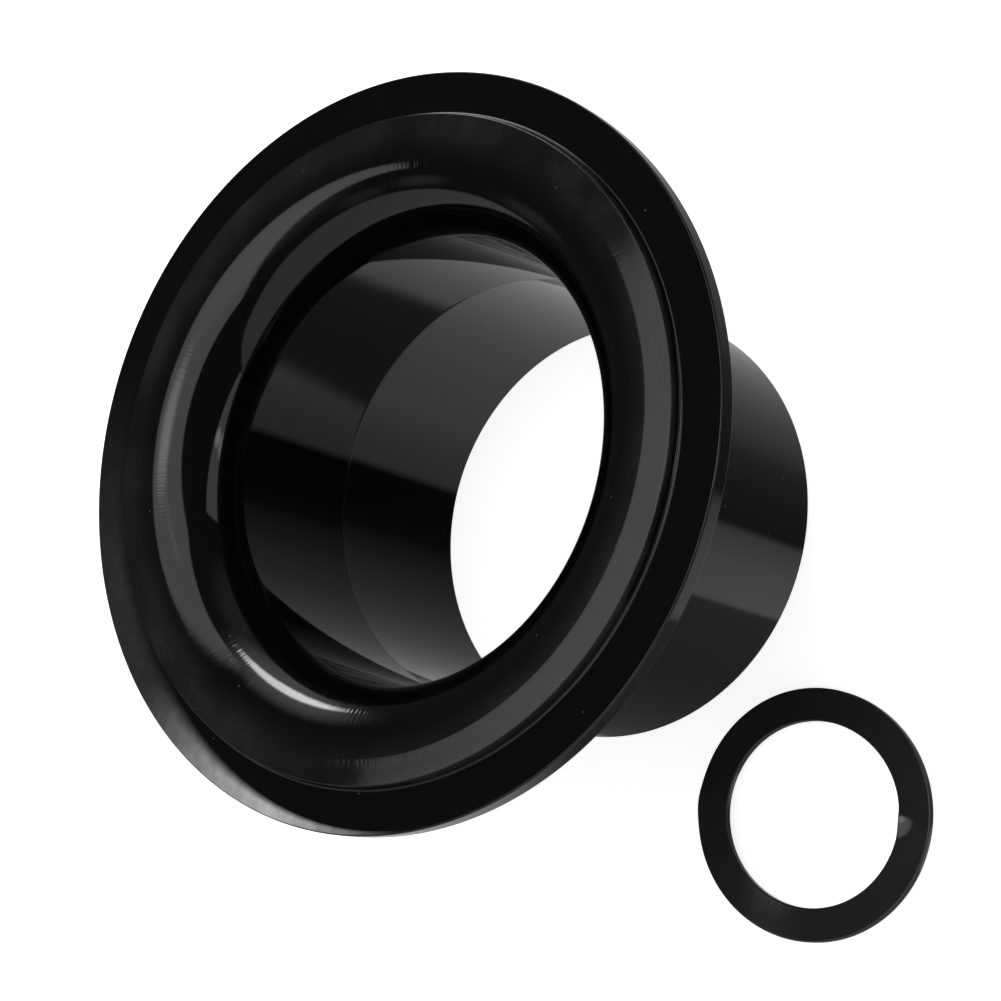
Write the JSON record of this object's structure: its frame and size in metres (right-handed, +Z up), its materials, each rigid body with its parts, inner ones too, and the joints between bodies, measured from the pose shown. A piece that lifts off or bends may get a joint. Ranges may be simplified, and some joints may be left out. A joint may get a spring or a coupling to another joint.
{
  "type": "toilet flange",
  "caption": "Round glossy black toilet flange: wide thin brim, raised collar, rolled mouth and straight spigot, with a rubber gasket under the brim and a loose rubber ring.",
  "frame": {"origin": "on the bore's axis at the spigot's open end, the face the flange stands on", "axes": "+Z up the bore, from the spigot's open end to the mouth; -Y is the front, the side the loose ring lies towards"},
  "size_m": [0.18, 0.2043, 0.107],
  "materials": {
    "gloss_black_plastic": "polished injection moulding",
    "gasket_rubber": "satin moulded rubber",
    "ring_rubber": "glossy thin rubber"
  },
  "bodies": {
    "flange": {"flange_body": "gloss_black_plastic"},
    "gasket": {"seat_gasket": "gasket_rubber"},
    "ring": {"loose_ring": "ring_rubber"}
  },
  "joints": [
    {"name": "gasket_slide", "type": "slide", "parent": "flange", "child": "gasket", "axis": [0, 0, -1], "range_m": [0, 0.087]},
    {"name": "ring_lift", "type": "slide", "parent": "flange", "child": "ring", "axis": [0, 0, 1], "range_m": [0, 0.06]}
  ]
}
